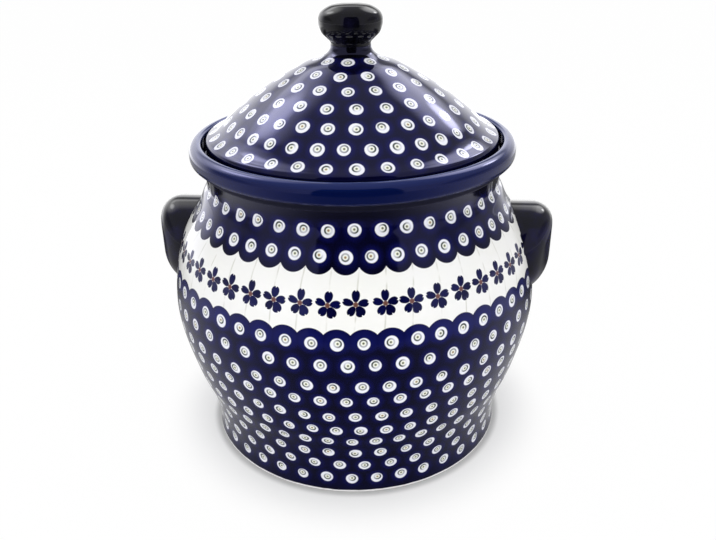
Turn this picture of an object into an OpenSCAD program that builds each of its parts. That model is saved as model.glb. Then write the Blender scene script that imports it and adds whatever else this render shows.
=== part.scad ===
// Lidded stoneware keeper: a bellied jar with a collared mouth, two cupped side lugs
// and a bell-shaped lid with a knob. Millimetres, +Z up, origin at the centre of the foot.

/* [Jar] */
// Diameter of the foot where it stands
foot_d = 212.6; // [206:0.2:220]
// Diameter of the waist just above the foot
waist_d = 211.4; // [204:0.2:218]
// Height of the waist
waist_z = 12; // [9:0.5:15]
// Widest diameter of the belly
belly_d = 254.4; // [246:0.2:262]
// Height of the widest belly
belly_z = 106; // [100:0.5:112]
// Outside diameter of the neck where it is narrowest
neck_d = 197; // [193:0.2:200]
// Height of the narrowest neck
neck_z = 188; // [185:0.5:191]
// Inside diameter of the mouth under the lid's seat
mouth_d = 177.6; // [174:0.2:181]
// Height of the collar's underside
collar_z = 203.3; // [196:0.1:212]
// Thickness of the jar's wall
wall = 7; // [5.5:0.25:8]
// Thickness of the jar's floor
floor_t = 9; // [7:0.5:11]
// Depth of the hollow under the foot
foot_recess = 3; // [2:0.25:4]
// Width of the ring that the jar stands on
foot_ring_w = 9; // [6:0.5:14]

/* [Collar] */
// Outside diameter of the collar
collar_d = 216.6; // [212:0.2:222]
// Height of the collar
collar_h = 13; // [12:0.25:15]
// Inside diameter of the collar at its lip
lip_d = 200; // [197:0.2:203]
// Depth of the lid's seat below the lip
seat_depth = 10; // [8:0.25:11]

/* [Lid] */
// Diameter of the lid's rim
lid_d = 194.4; // [190:0.2:196]
// Straight height of the lid's rim
rim_h = 5; // [4:0.25:7]
// Height of the lid from its seat up to the knob
lid_h = 67.3; // [60:0.1:75]
// Thickness of the lid's wall
lid_wall = 7; // [5.5:0.25:8]
// Depth of the ring that keeps the lid centred in the mouth
ring_h = 10; // [7:0.5:14]
// Thickness of that ring
ring_t = 6; // [5:0.25:8]

/* [Knob] */
// Diameter of the knob's ball
knob_d = 41.6; // [38:0.2:45]
// Diameter of the knob's neck, where it is joined to the lid
knob_neck_d = 26.4; // [24:0.2:28]
// Height of the knob
knob_h = 25.1; // [22:0.1:28]

/* [Lugs] */
// Reach of a lug beyond the widest belly
lug_out = 10.2; // [9.4:0.1:13]
// Depth of a lug from its outer face to its flat back
lug_depth = 25.5; // [24:0.25:27.5]
// Radius of a lug's arch, seen from the side of the jar
lug_arch_r = 35; // [33:0.1:38]
// Height of the centre of that arch
lug_z = 132.9; // [129:0.1:136]
// Radius of a lug's outer face, seen from above
lug_bow_r = 41.5; // [39:0.25:44]
// Radius of a lug's lower taper, seen from the front
lug_taper_r = 27; // [25:0.25:30]
// Thickness of a lug's wall round the finger hollow
lug_wall = 6; // [5:0.25:6.5]
// Drop of a lug's lower rim below the centre of the arch
lug_rim_drop = 8; // [6:0.5:10]

/* [Fits] */
// Clearance between the lid and the seat that it rests on
seat_gap = 0.2; // [0.1:0.05:0.4]
// Clearance round the ring in the mouth
ring_gap = 2.4; // [1.5:0.1:3.5]

/* [Hidden] */
$fn = 160;
curve_steps = 6;
arc_steps = 8;

// Radii and levels worked out from the driving sizes
foot_r = foot_d / 2;
waist_r = waist_d / 2;
belly_r = belly_d / 2;
neck_r = neck_d / 2;
collar_r = collar_d / 2;
lip_r = lip_d / 2;
mouth_r = mouth_d / 2;
floor_z = foot_recess + floor_t;
lip_z = collar_z + collar_h;
seat_z = lip_z - seat_depth;
lid_r = lid_d / 2;
lid_z = seat_z + seat_gap;
rim_z = lid_z + rim_h;
knob_z = lid_z + lid_h;
ring_r = mouth_r - ring_gap;
knob_r = knob_d / 2;
knob_neck_r = knob_neck_d / 2;
lug_x = belly_r + lug_out;

// Roundings of the fired edges
foot_round = 1.5;
floor_round = 12;
collar_under_round = 4;
collar_under_flat = 1;
collar_top_round = 6;
lip_round = 2;
gallery_draft = 1;
rim_round = 1.5;
ring_round = 1.5;
lug_edge_round = 12;
lug_back_round = 4;
hollow_round = 8;
finger_arch_r = 24;

// Points of an arc, and of a smooth curve that runs through a few stations
function arc(c, r, a0, a1) = [
    for (i = [0:arc_steps])
        let (a = a0 + (a1 - a0) * i / arc_steps) c + r * [cos(a), sin(a)]
];
function between(a, b, share) = [a[0] + (b[0] - a[0]) * share[0], a[1] + (b[1] - a[1]) * share[1]];
function knot(a, b) = sqrt(norm(b - a));
function mix(a, b, ta, tb, t) = a + (b - a) * (t - ta) / (tb - ta);
function span_point(p0, p1, p2, p3, u) =
    let (
        t1 = knot(p0, p1),
        t2 = t1 + knot(p1, p2),
        t3 = t2 + knot(p2, p3),
        t = t1 + (t2 - t1) * u,
        a1 = mix(p0, p1, 0, t1, t),
        a2 = mix(p1, p2, t1, t2, t),
        a3 = mix(p2, p3, t2, t3, t),
        b1 = mix(a1, a2, 0, t2, t),
        b2 = mix(a2, a3, t1, t3, t)
    )
    mix(b1, b2, t1, t2, t);
function smooth(p) =
    let (
        n = len(p),
        q = concat([2 * p[0] - p[1]], p, [2 * p[n - 1] - p[n - 2]])
    )
    concat(
        [
            for (i = [1:n - 1], k = [0:curve_steps - 1])
                span_point(q[i - 1], q[i], q[i + 1], q[i + 2], k / curve_steps)
        ],
        [p[n - 1]]
    );
function inset(p, d) = [
    for (i = [0:len(p) - 1])
        let (
            step = p[min(i + 1, len(p) - 1)] - p[max(i - 1, 0)],
            along = step / norm(step)
        )
        p[i] + d * [-along[1], along[0]]
];
function reversed(p) = [for (i = [len(p) - 1:-1:0]) p[i]];

// Outside of the jar from the waist to the collar: shares of the swell and of the height
waist = [waist_r, waist_z];
belly = [belly_r, belly_z];
neck = [neck_r, neck_z];
flare = [collar_r - collar_under_round - collar_under_flat, collar_z];
jar_curve = smooth([
    [foot_r, foot_round],
    waist,
    between(waist, belly, [0.21, 0.255]),
    between(waist, belly, [0.6, 0.51]),
    belly,
    between(belly, neck, [0.312, 0.56]),
    between(belly, neck, [0.753, 0.815]),
    between(belly, neck, [0.906, 0.933]),
    between(belly, neck, [0.983, 0.978]),
    neck,
    between(neck, flare, [0.125, 0.294]),
    between(neck, flare, [0.437, 0.6]),
    flare
]);
jar_inside = [
    for (p = inset(jar_curve, wall))
        if (p[1] > floor_z + floor_round && p[1] < collar_z - 2 * wall) p
];
floor_edge_r = jar_inside[0][0];

// Outside of the lid from its rim up to the knob, an ogee
rim_top = [lid_r, rim_z];
knob_foot = [knob_neck_r, knob_z];
lid_curve = smooth([
    rim_top,
    between(rim_top, knob_foot, [0.0786, 0.14]),
    between(rim_top, knob_foot, [0.445, 0.543]),
    between(rim_top, knob_foot, [0.8, 0.809]),
    between(rim_top, knob_foot, [0.9167, 0.873]),
    knob_foot
]);
crown_share = 0.3;
lid_inside = [
    for (p = inset(lid_curve, lid_wall))
        if (p[0] < ring_r - ring_t && p[0] > crown_share * lid_r) p
];
crown_rise = 2;
crown_z = lid_inside[len(lid_inside) - 1][1] + crown_rise;

// Half section of the solid jar, without its hollow
module jar_block() {
    rotate_extrude()
        polygon(concat([[0, 0], [foot_r - foot_round, 0]], jar_curve, [[0, collar_z]]));
}

// Thrown jar: foot ring, waist, belly, neck and a collar that holds the lid's seat
module jar_body() {
    foot = concat(
        [[0, foot_recess], [foot_r - foot_ring_w - foot_recess, foot_recess], [foot_r - foot_ring_w, 0]],
        [[foot_r - foot_round, 0]]
    );
    collar = concat(
        arc([collar_r - collar_under_round, collar_z + collar_under_round], collar_under_round, -90, 0),
        arc([collar_r - collar_top_round, lip_z - collar_top_round], collar_top_round, 0, 90),
        arc([lip_r + lip_round, lip_z - lip_round], lip_round, 90, 180)
    );
    seat = [[lip_r - gallery_draft, seat_z], [mouth_r, seat_z], [mouth_r, collar_z - wall]];
    hollow_floor = concat(
        arc([floor_edge_r - floor_round, floor_z + floor_round], floor_round, 0, -90),
        [[0, floor_z]]
    );
    color("midnightblue")
        rotate_extrude()
            polygon(concat(foot, jar_curve, collar, seat, reversed(jar_inside), hollow_floor));
}

// Section of a lug: distance from the arch's axis, then distance from the jar's axis
function lug_section(back_corner, r, outer, edge) = concat(
    [[0, back_corner[0][1]]],
    back_corner,
    arc([r - edge, outer - edge], edge, 0, 90),
    [[0, outer]]
);

// Half-round arch over two straight legs, both with the same section
module arch(section, leg) {
    legs = [for (p = section) [p[1], p[0]]];
    translate([0, 0, lug_z])
        rotate([0, 90, 0])
            rotate([0, 0, 90])
                rotate_extrude(angle = 180)
                    polygon(section);
    translate([0, 0, lug_z - leg])
        linear_extrude(leg) {
            polygon(legs);
            mirror([0, 1])
                polygon(legs);
        }
}

// Bowed outer form of a lug: upright above, drawn in to the jar below
module lug_bow() {
    bow_inset = lug_bow_r - lug_taper_r;
    lug_top = lug_z + lug_arch_r;
    taper = arc([bow_inset, lug_z], lug_taper_r, -90, 0);
    translate([lug_x - lug_bow_r, 0, 0])
        rotate_extrude()
            polygon(concat([[0, lug_z - lug_taper_r]], taper, [[lug_bow_r, lug_top], [0, lug_top]]));
}

// Hollow behind the lug for the fingertips, open below under an arched rim
module finger_hollow() {
    hollow_r = lug_arch_r - lug_wall;
    hollow_back = [[hollow_r, lug_x - lug_depth - wall]];
    intersection() {
        arch(lug_section(hollow_back, hollow_r, lug_x - lug_wall, hollow_round), lug_arch_r);
        translate([lug_x - lug_bow_r, 0, 0])
            cylinder(r = lug_bow_r - lug_wall, h = lug_z + lug_arch_r);
    }
    translate([lug_x - lug_bow_r, 0, lug_z - lug_rim_drop - finger_arch_r])
        rotate([0, 90, 0])
            cylinder(r = finger_arch_r, h = lug_bow_r + wall);
}

// Cupped lug, cut to the jar's own curve so that it beds on it
module lug() {
    heel = [lug_arch_r - lug_back_round, lug_x - lug_depth + lug_back_round];
    back_corner = arc(heel, lug_back_round, -90, 0);
    difference() {
        intersection() {
            arch(lug_section(back_corner, lug_arch_r, lug_x, lug_edge_round), lug_arch_r);
            lug_bow();
        }
        finger_hollow();
        jar_block();
    }
}

module right_handle() {
    color("#17171f")
        lug();
}

module left_handle() {
    color("#17171f")
        mirror([1, 0, 0])
            lug();
}

// Bell-shaped lid with a flat seat, a centring ring below it and a hollow dome
module lid() {
    ring_in = ring_r - ring_t;
    ring_z = lid_z - ring_h;
    ring = concat(
        [[ring_in, lid_inside[0][1]]],
        arc([ring_in + ring_round, ring_z + ring_round], ring_round, 180, 270),
        arc([ring_r - ring_round, ring_z + ring_round], ring_round, -90, 0)
    );
    rim = concat([[ring_r, lid_z]], arc([lid_r - rim_round, lid_z + rim_round], rim_round, -90, 0));
    color("navy")
        rotate_extrude()
            polygon(concat([[0, crown_z]], reversed(lid_inside), ring, rim, lid_curve, [[0, knob_z]]));
}

// Round knob on a short neck, joined to the top of the lid
module lid_knob() {
    foot = [knob_neck_r, knob_z];
    crown = [knob_r, knob_z + knob_h];
    outline = smooth([
        foot,
        between(foot, crown, [0.02, 0.07]),
        between(foot, crown, [0.32, 0.165]),
        between(foot, crown, [0.77, 0.31]),
        between(foot, crown, [1, 0.54]),
        between(foot, crown, [0.8, 0.77]),
        [0.65 * knob_r, knob_z + 0.93 * knob_h],
        [0.33 * knob_r, knob_z + 0.99 * knob_h],
        [0, knob_z + knob_h]
    ]);
    color("#15151c")
        rotate_extrude()
            polygon(concat([[0, knob_z]], outline));
}

jar_body();
left_handle();
right_handle();
lid();
lid_knob();
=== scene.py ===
"""Looks of a lidded stoneware keeper with a dark stamped glaze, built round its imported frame.

Sizes are millimetres in the classes of the pieces and metres in the meshes and the studio.
Azimuth is measured round the jar's axis, in degrees, from the viewer's side (-Y) towards the
right-hand lug (+X). A run is the length along a turned piece's outline, from its first point.
A span is a pair of numbers over which a share rises smoothly from 0 to 1. A lead is the way
from the end of a curve in an outline to the first point of the straight beside it.
"""

import logging
import math
from dataclasses import dataclass
from enum import Enum
from typing import Any, Optional, Union

import bpy
import numpy as np
from mathutils import Matrix, Vector


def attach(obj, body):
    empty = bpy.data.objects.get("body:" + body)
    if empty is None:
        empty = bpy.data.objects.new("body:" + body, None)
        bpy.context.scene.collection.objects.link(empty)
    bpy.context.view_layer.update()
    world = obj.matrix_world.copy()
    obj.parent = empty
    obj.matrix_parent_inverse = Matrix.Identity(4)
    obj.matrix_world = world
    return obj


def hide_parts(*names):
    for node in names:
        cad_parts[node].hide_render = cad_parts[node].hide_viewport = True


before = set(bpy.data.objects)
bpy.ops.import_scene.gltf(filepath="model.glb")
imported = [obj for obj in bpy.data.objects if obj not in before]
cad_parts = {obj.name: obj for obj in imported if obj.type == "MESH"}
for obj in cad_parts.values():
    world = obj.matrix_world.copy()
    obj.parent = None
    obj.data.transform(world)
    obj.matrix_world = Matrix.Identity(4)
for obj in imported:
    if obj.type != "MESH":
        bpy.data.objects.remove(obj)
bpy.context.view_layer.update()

Rgb = tuple[float, float, float]
Span = tuple[float, float]
Point = tuple[float, float]

LOG = logging.getLogger("keeper")
MM = 0.001
TURN = 2.0 * math.pi
RUN = "run_mm"
LILAC: Rgb = (0.5, 0.505, 1.0)
INSIDE_WHITE: Rgb = (0.76, 0.75, 0.7)
# Points of an outline that are closer than this, in millimetres, are one point.
SAME = 1e-4
CORNERS = np.array([[-1.0, -1.0, 0.0], [1.0, -1.0, 0.0], [1.0, 1.0, 0.0], [-1.0, 1.0, 0.0]])


class Slot(Enum):
    """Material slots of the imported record."""

    STAMPED = "stamped_glaze"
    PLAIN = "plain_dark_glaze"


class Body(Enum):
    """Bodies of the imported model."""

    JAR = "jar"
    LID = "lid_assembly"


class Side(Enum):
    """Sides of the jar that carry a lug, with the sign of X there."""

    LEFT = -1
    RIGHT = 1


def ink(colour: Rgb) -> tuple[float, float, float, float]:
    """Give a colour its opaque fourth value."""
    return (*colour, 1.0)


def heading(azimuth: float, elevation: float) -> Rgb:
    """Unit vector towards an azimuth and an elevation in degrees."""
    a, e = math.radians(azimuth), math.radians(elevation)
    return (math.sin(a) * math.cos(e), -math.cos(a) * math.cos(e), math.sin(e))


class Value:
    """Number that varies over a surface: a socket whose operators add Math nodes."""

    def __init__(self, graph: "Graph", socket: bpy.types.NodeSocket) -> None:
        """Wrap one output socket of a graph."""
        self.graph = graph
        self.socket = socket

    def __add__(self, other: "Number") -> "Value":
        """Sum."""
        return self.graph.math("ADD", self, other)

    __radd__ = __add__

    def __sub__(self, other: "Number") -> "Value":
        """Difference."""
        return self.graph.math("SUBTRACT", self, other)

    def __rsub__(self, other: "Number") -> "Value":
        """Difference from a plain number."""
        return self.graph.math("SUBTRACT", other, self)

    def __mul__(self, other: "Number") -> "Value":
        """Product."""
        return self.graph.math("MULTIPLY", self, other)

    __rmul__ = __mul__

    def __truediv__(self, other: "Number") -> "Value":
        """Quotient."""
        return self.graph.math("DIVIDE", self, other)

    def __rtruediv__(self, other: "Number") -> "Value":
        """Quotient of a plain number."""
        return self.graph.math("DIVIDE", other, self)

    def __neg__(self) -> "Value":
        """Negative."""
        return self.graph.math("MULTIPLY", self, -1.0)

    def __pow__(self, power: "Number") -> "Value":
        """Power."""
        return self.graph.math("POWER", self, power)

    def __mod__(self, period: "Number") -> "Value":
        """Remainder, never below zero."""
        return self.graph.math("FLOORED_MODULO", self, period)

    def __abs__(self) -> "Value":
        """Size without sign."""
        return self.graph.math("ABSOLUTE", self)

    def __gt__(self, edge: "Number") -> "Value":
        """1 above the edge, else 0."""
        return self.graph.math("GREATER_THAN", self, edge)

    def root(self) -> "Value":
        """Square root, 0 for a negative number."""
        return self.graph.math("SQRT", self.graph.math("MAXIMUM", self, 0.0))

    def nearest(self) -> "Value":
        """Nearest whole number."""
        return self.graph.math("ROUND", self)

    def about(self, width: float) -> "Value":
        """Number from 0 to 1, spread about zero over a width."""
        return (self - 0.5) * width


Number = Union[float, Value]


class Graph:
    """Node tree of one finish or light, with one method that adds any node."""

    def __init__(self, tree: bpy.types.NodeTree) -> None:
        """Start from an empty tree."""
        self.tree = tree
        tree.nodes.clear()

    def node(
        self,
        kind: str,
        settings: Optional[dict[str, Any]] = None,
        inputs: Optional[dict[Union[str, int], Any]] = None,
    ) -> bpy.types.Node:
        """Add one node.

        Args:
            kind: The node's type name.
            settings: Attributes of the node, set first.
            inputs: Values or links by socket name or number.

        Returns:
            The new node.
        """
        made = self.tree.nodes.new(kind)
        for name, value in (settings or {}).items():
            setattr(made, name, value)
        for key, value in (inputs or {}).items():
            self.feed(made.inputs[key], value)
        return made

    def feed(self, socket: bpy.types.NodeSocket, value: Any) -> None:
        """Link a socket to a value, or set a plain number or colour on it.

        Args:
            socket: Input socket of a node.
            value: A value, another socket, a number or a colour.
        """
        source = value.socket if isinstance(value, Value) else value
        if isinstance(source, bpy.types.NodeSocket):
            self.tree.links.new(source, socket)
        else:
            socket.default_value = source

    def math(self, operation: str, *terms: Number) -> Value:
        """Add one Math node on values or plain numbers."""
        made = self.node("ShaderNodeMath", {"operation": operation}, dict(enumerate(terms)))
        return Value(self, made.outputs[0])

    def ease(self, value: Value, low: Number, high: Number) -> Value:
        """Rise smoothly from 0 to 1, or fall where low is the larger.

        Args:
            value: The number that is looked at.
            low: Where the share is 0.
            high: Where the share is 1.

        Returns:
            The share, 3 t^2 - 2 t^3 of the way t from low to high.
        """
        made = self.node(
            "ShaderNodeMapRange",
            {"interpolation_type": "SMOOTHSTEP"},
            {"Value": value, "From Min": low, "From Max": high},
        )
        return Value(self, made.outputs[0])

    def within(self, value: Value, edge: Number, soft: float) -> Value:
        """1 below an edge and 0 above it, softened by a width on either side."""
        return self.ease(value, edge + soft, edge - soft)

    def mix(self, share: Number, under: Any, over: Any) -> bpy.types.NodeSocket:
        """Lay one colour over another by a share from 0 to 1."""
        made = self.node("ShaderNodeMix", {"data_type": "RGBA"}, {0: share, 6: under, 7: over})
        return made.outputs[2]

    def parts(self, vector: bpy.types.NodeSocket) -> tuple[Value, Value, Value]:
        """Split a vector or a colour into its three numbers."""
        made = self.node("ShaderNodeSeparateXYZ", None, {0: vector})
        return tuple(Value(self, out) for out in made.outputs)

    def far(self, x: Value, y: Value) -> Value:
        """Distance root(x^2 + y^2)."""
        return (x * x + y * y).root()

    def cosine(self, way: bpy.types.NodeSocket, toward: Rgb) -> Value:
        """Cosine of the angle between a direction and a fixed one, by their dot product."""
        made = self.node("ShaderNodeVectorMath", {"operation": "DOT_PRODUCT"}, {0: way, 1: toward})
        return Value(self, made.outputs["Value"])

    def noise(self, at: Any, scale: float, detail: float = 2.0) -> Value:
        """Soft noise from 0 to 1 with a number of cells in each metre."""
        inputs = {"Vector": at, "Scale": scale, "Detail": detail}
        return Value(self, self.node("ShaderNodeTexNoise", None, inputs).outputs[0])

    def dice(self, *keys: Number) -> tuple[Value, Value, Value]:
        """Draw numbers that are fixed for each set of keys.

        Args:
            keys: Up to three numbers.

        Returns:
            Three numbers from 0 to 1.
        """
        at = self.node("ShaderNodeCombineXYZ", None, dict(enumerate(keys))).outputs[0]
        made = self.node("ShaderNodeTexWhiteNoise", {"noise_dimensions": "3D"}, {"Vector": at})
        return self.parts(made.outputs["Color"])

    def choose(self, index: Value, values: tuple[float, ...]) -> Number:
        """Pick one of several numbers.

        Args:
            index: Whole number that counts from 0.
            values: The numbers.

        Returns:
            The number at the index.
        """
        picked: Number = values[0]
        for at, value in enumerate(values[1:], 1):
            here = self.math("COMPARE", index, float(at), 0.5)
            picked = here * (value - values[0]) + picked
        return picked

    def place(self) -> bpy.types.NodeSocket:
        """Object coordinates, in metres."""
        return self.node("ShaderNodeTexCoord").outputs["Object"]

    def show(self, shader: bpy.types.Node) -> None:
        """Join a shader to the material's output."""
        self.node("ShaderNodeOutputMaterial", None, {0: shader.outputs[0]})


def new_finish(name: str) -> tuple[bpy.types.Material, Graph]:
    """Make an empty node material.

    Args:
        name: Its name.

    Returns:
        The material and its graph.
    """
    material = bpy.data.materials.new(name)
    material.use_nodes = True
    return material, Graph(material.node_tree)


class PotPlace:
    """Where a point lies on a turned pot: azimuth, radius, height and run."""

    def __init__(self, graph: Graph) -> None:
        """Read the place from Object coordinates and the piece's own run attribute.

        Args:
            graph: The finish's graph.
        """
        self.graph = graph
        self.at = graph.place()
        x, y, z = graph.parts(self.at)
        self.azimuth = graph.math("ARCTAN2", x, -y)
        self.radius = graph.far(x, y) / MM
        self.height = z / MM
        made = graph.node("ShaderNodeAttribute", {"attribute_name": RUN})
        self.run = Value(graph, made.outputs["Fac"])

    def past(self, run: float, span: Span) -> Value:
        """Share that rises over a span measured from a run."""
        return self.graph.ease(self.run, run + span[0], run + span[1])

    def cell(self, count: Number, turn: Number) -> tuple[Value, Value]:
        """Divide the girth into equal cells.

        Args:
            count: Number of cells in the girth.
            turn: Azimuth of one cell's middle, in degrees.

        Returns:
            The cell's number and the way from its middle along the girth, in millimetres.
        """
        width = self.graph.math("DIVIDE", TURN, count)
        cells = (self.azimuth - self.graph.math("RADIANS", turn)) / width
        number = cells.nearest()
        return number % count, (cells - number) * width * self.radius


@dataclass(frozen=True)
class Cloud:
    """Soft patches in a glaze: noise with cells in each metre, eased over a span."""

    scale: float
    detail: float
    span: Span

    def share(self, graph: Graph, at: Any) -> Value:
        """Share of the patches at a place, from 0 to 1."""
        return graph.ease(graph.noise(at, self.scale, self.detail), *self.span)


@dataclass(frozen=True)
class StampRow:
    """One row of stamped dots: height, number of dots, and azimuth of one of them."""

    height: float
    count: int
    turn: float


@dataclass(frozen=True)
class DotStamp:
    """One stamped dot: a white disc with a grey-green ring, a pale middle and a dark eye.

    The ring and the eye lie a little off the disc's middle, and the ring shows wear on one side.
    """

    radius: float = 3.9
    size_least: float = 0.94
    size_play: float = 0.12
    edge_soft: float = 0.3
    sway: float = 0.9
    ring_out: float = 2.55
    ring_in: float = 1.6
    ring_soft: float = 0.32
    ring_clear: float = 0.5
    off_centre: float = 0.9
    lift: float = 0.3
    wear_base: float = 0.75
    wear_depth: float = 0.75
    middle_soft: float = 0.7
    eye: float = 0.7
    eye_soft: float = 0.3
    eye_strength: float = 0.85
    rust_above: float = 0.82
    halo: float = 8.4
    halo_least: float = 0.7
    halo_play: float = 0.3
    ring_key: float = 7.0
    wear_key: float = 3.0
    white: Rgb = (0.85, 0.862, 0.925)
    ring: Rgb = (0.06, 0.075, 0.052)
    middle: Rgb = (0.85, 0.87, 0.68)
    eye_dark: Rgb = (0.012, 0.014, 0.012)
    eye_rust: Rgb = (0.2, 0.06, 0.02)

    def lay(
        self,
        graph: Graph,
        ground: Any,
        cobalt: Any,
        across: Value,
        up: Value,
        keys: tuple[Number, Number],
        spread: Number,
    ) -> bpy.types.NodeSocket:
        """Lay a dot and the cobalt bloom round it over the ground.

        Args:
            graph: The finish's graph.
            ground: Colour of the ground.
            cobalt: Colour of the bloom close to a dot.
            across: Way from the cell's middle along the girth.
            up: Way from the row along the outline.
            keys: The cell's number and the row's run.
            spread: Millimetres by which the bloom is wider than usual.

        Returns:
            The colour with the dot on it.
        """
        sway_x, sway_y, size = graph.dice(*keys)
        ring_x, ring_y, rust = graph.dice(*keys, self.ring_key)
        wear_turn, wear, bloom = graph.dice(*keys, self.wear_key)
        dx, dy = across + sway_x.about(self.sway), up + sway_y.about(self.sway)
        far = graph.far(dx, dy)
        near_x = dx + ring_x.about(self.off_centre)
        near_y = dy + ring_y.about(self.off_centre) - self.lift
        near = graph.far(near_x, near_y)
        edge = (size * self.size_play + self.size_least) * self.radius

        halo = graph.ease(far, spread + self.halo, edge)
        colour = graph.mix(halo * (bloom * self.halo_play + self.halo_least), ground, cobalt)
        colour = graph.mix(graph.within(far, edge, self.edge_soft), colour, ink(self.white))
        wear_and_painted_shade = graph.math("COSINE", graph.math("ARCTAN2", near_y, near_x) - wear_turn * TURN)
        strength = wear_and_painted_shade * (wear * self.wear_depth) + self.wear_base
        outside = graph.within(near, self.ring_out, self.ring_soft)
        inside = graph.within(near, self.ring_in, -self.ring_soft)
        inked = graph.ease(far, edge, edge - self.ring_clear)
        colour = graph.mix(outside * inside * inked * strength, colour, ink(self.ring))
        middle = graph.ease(near, self.ring_in, self.ring_in - self.middle_soft)
        colour = graph.mix(middle, colour, ink(self.middle))
        eye = graph.mix(rust > self.rust_above, ink(self.eye_dark), ink(self.eye_rust))
        seen = graph.within(near, self.eye, self.eye_soft) * self.eye_strength
        return graph.mix(seen, colour, eye)


@dataclass(frozen=True)
class StampField:
    """Rows of dots, from the lowest run to the highest, on a dark ground.

    The bloom round the dots of one row may be wider and brighter, which colours its scallops.
    """

    rows: tuple[StampRow, ...]
    runs: tuple[float, ...]
    stamp: DotStamp = DotStamp()
    cloud: Cloud = Cloud(55.0, 3.0, (0.35, 0.7))
    ground: Rgb = (0.0018, 0.002, 0.02)
    mottle: Rgb = (0.002, 0.0019, 0.011)
    cobalt: Rgb = (0.0035, 0.0042, 0.066)
    bright_cobalt: Rgb = (0.0055, 0.0075, 0.092)
    lobe_spread: float = 7.0
    lobe_fade: Span = (-6.5, 0.5)
    lobe_row: Optional[int] = None

    def ladder(self, place: PotPlace, values: list[float]) -> Number:
        """Pick one value for each row by the run, with steps halfway between rows.

        Args:
            place: The place on the pot.
            values: One value a row.

        Returns:
            The value of the nearest row.
        """
        picked: Number = values[0]
        for low, high, a, b in zip(self.runs, self.runs[1:], values, values[1:]):
            if a != b:
                picked = (place.run > (low + high) / 2.0) * (b - a) + picked
        return picked

    def colour(self, graph: Graph, place: PotPlace) -> tuple[Any, Value, Value]:
        """Colour of the field.

        Args:
            graph: The finish's graph.
            place: The place on the pot.

        Returns:
            The colour, and the way from the nearest dot's cell along the girth and the outline.
        """
        count = self.ladder(place, [float(row.count) for row in self.rows])
        turn = self.ladder(place, [row.turn for row in self.rows])
        level = self.ladder(place, list(self.runs))
        number, across = place.cell(count, turn)
        up = place.run - level
        patches = self.cloud.share(graph, place.at)
        ground = graph.mix(patches, ink(self.ground), ink(self.mottle))
        here = [float(at == self.lobe_row) for at in range(len(self.rows))]
        bloom = self.ladder(place, here) * graph.ease(up, *self.lobe_fade)
        cobalt = graph.mix(bloom, ink(self.cobalt), ink(self.bright_cobalt))
        keys, spread = (number, level), bloom * self.lobe_spread
        colour = self.stamp.lay(graph, ground, cobalt, across, up, keys, spread)
        return colour, across, up


@dataclass(frozen=True)
class Scallop:
    """Row of round lobes that edge a dark field, each an arc about a dot's cell."""

    radius: float
    centre: float

    def reach(self, across: Value) -> Value:
        """How far the dark field reaches past the row: centre + root(radius^2 - across^2)."""
        return (self.radius**2 - across * across).root() + self.centre


@dataclass(frozen=True)
class UprightLines:
    """Thin slanted lines on the white band, one at each border between scallops."""

    slope: float = 0.08
    slope_least: float = 0.3
    slope_play: float = 1.4
    slope_key: float = 13.0
    wobble_scale: float = 60.0
    wobble: float = 1.2
    stroke: Span = (0.75, 0.15)
    strength: float = 0.55
    cloud: Cloud = Cloud(140.0, 1.0, (0.3, 0.65))

    def share(self, graph: Graph, place: PotPlace, row: StampRow, run: float) -> Value:
        """Share of the lines' colour.

        Args:
            graph: The finish's graph.
            place: The place on the pot.
            row: Row of dots whose scallops' borders carry the lines.
            run: Run at which each line stands at its border.

        Returns:
            The share, from 0 to 1.
        """
        mark, aside = place.cell(row.count, row.turn + 180.0 / row.count)
        wobble = graph.noise(place.at, self.wobble_scale).about(self.wobble)
        lean = graph.dice(mark, self.slope_key)[0] * self.slope_play + self.slope_least
        drift = (run - place.run) * (lean * self.slope)
        stroke = graph.ease(abs(aside + drift + wobble), *self.stroke)
        return stroke * self.cloud.share(graph, place.at) * self.strength


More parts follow.
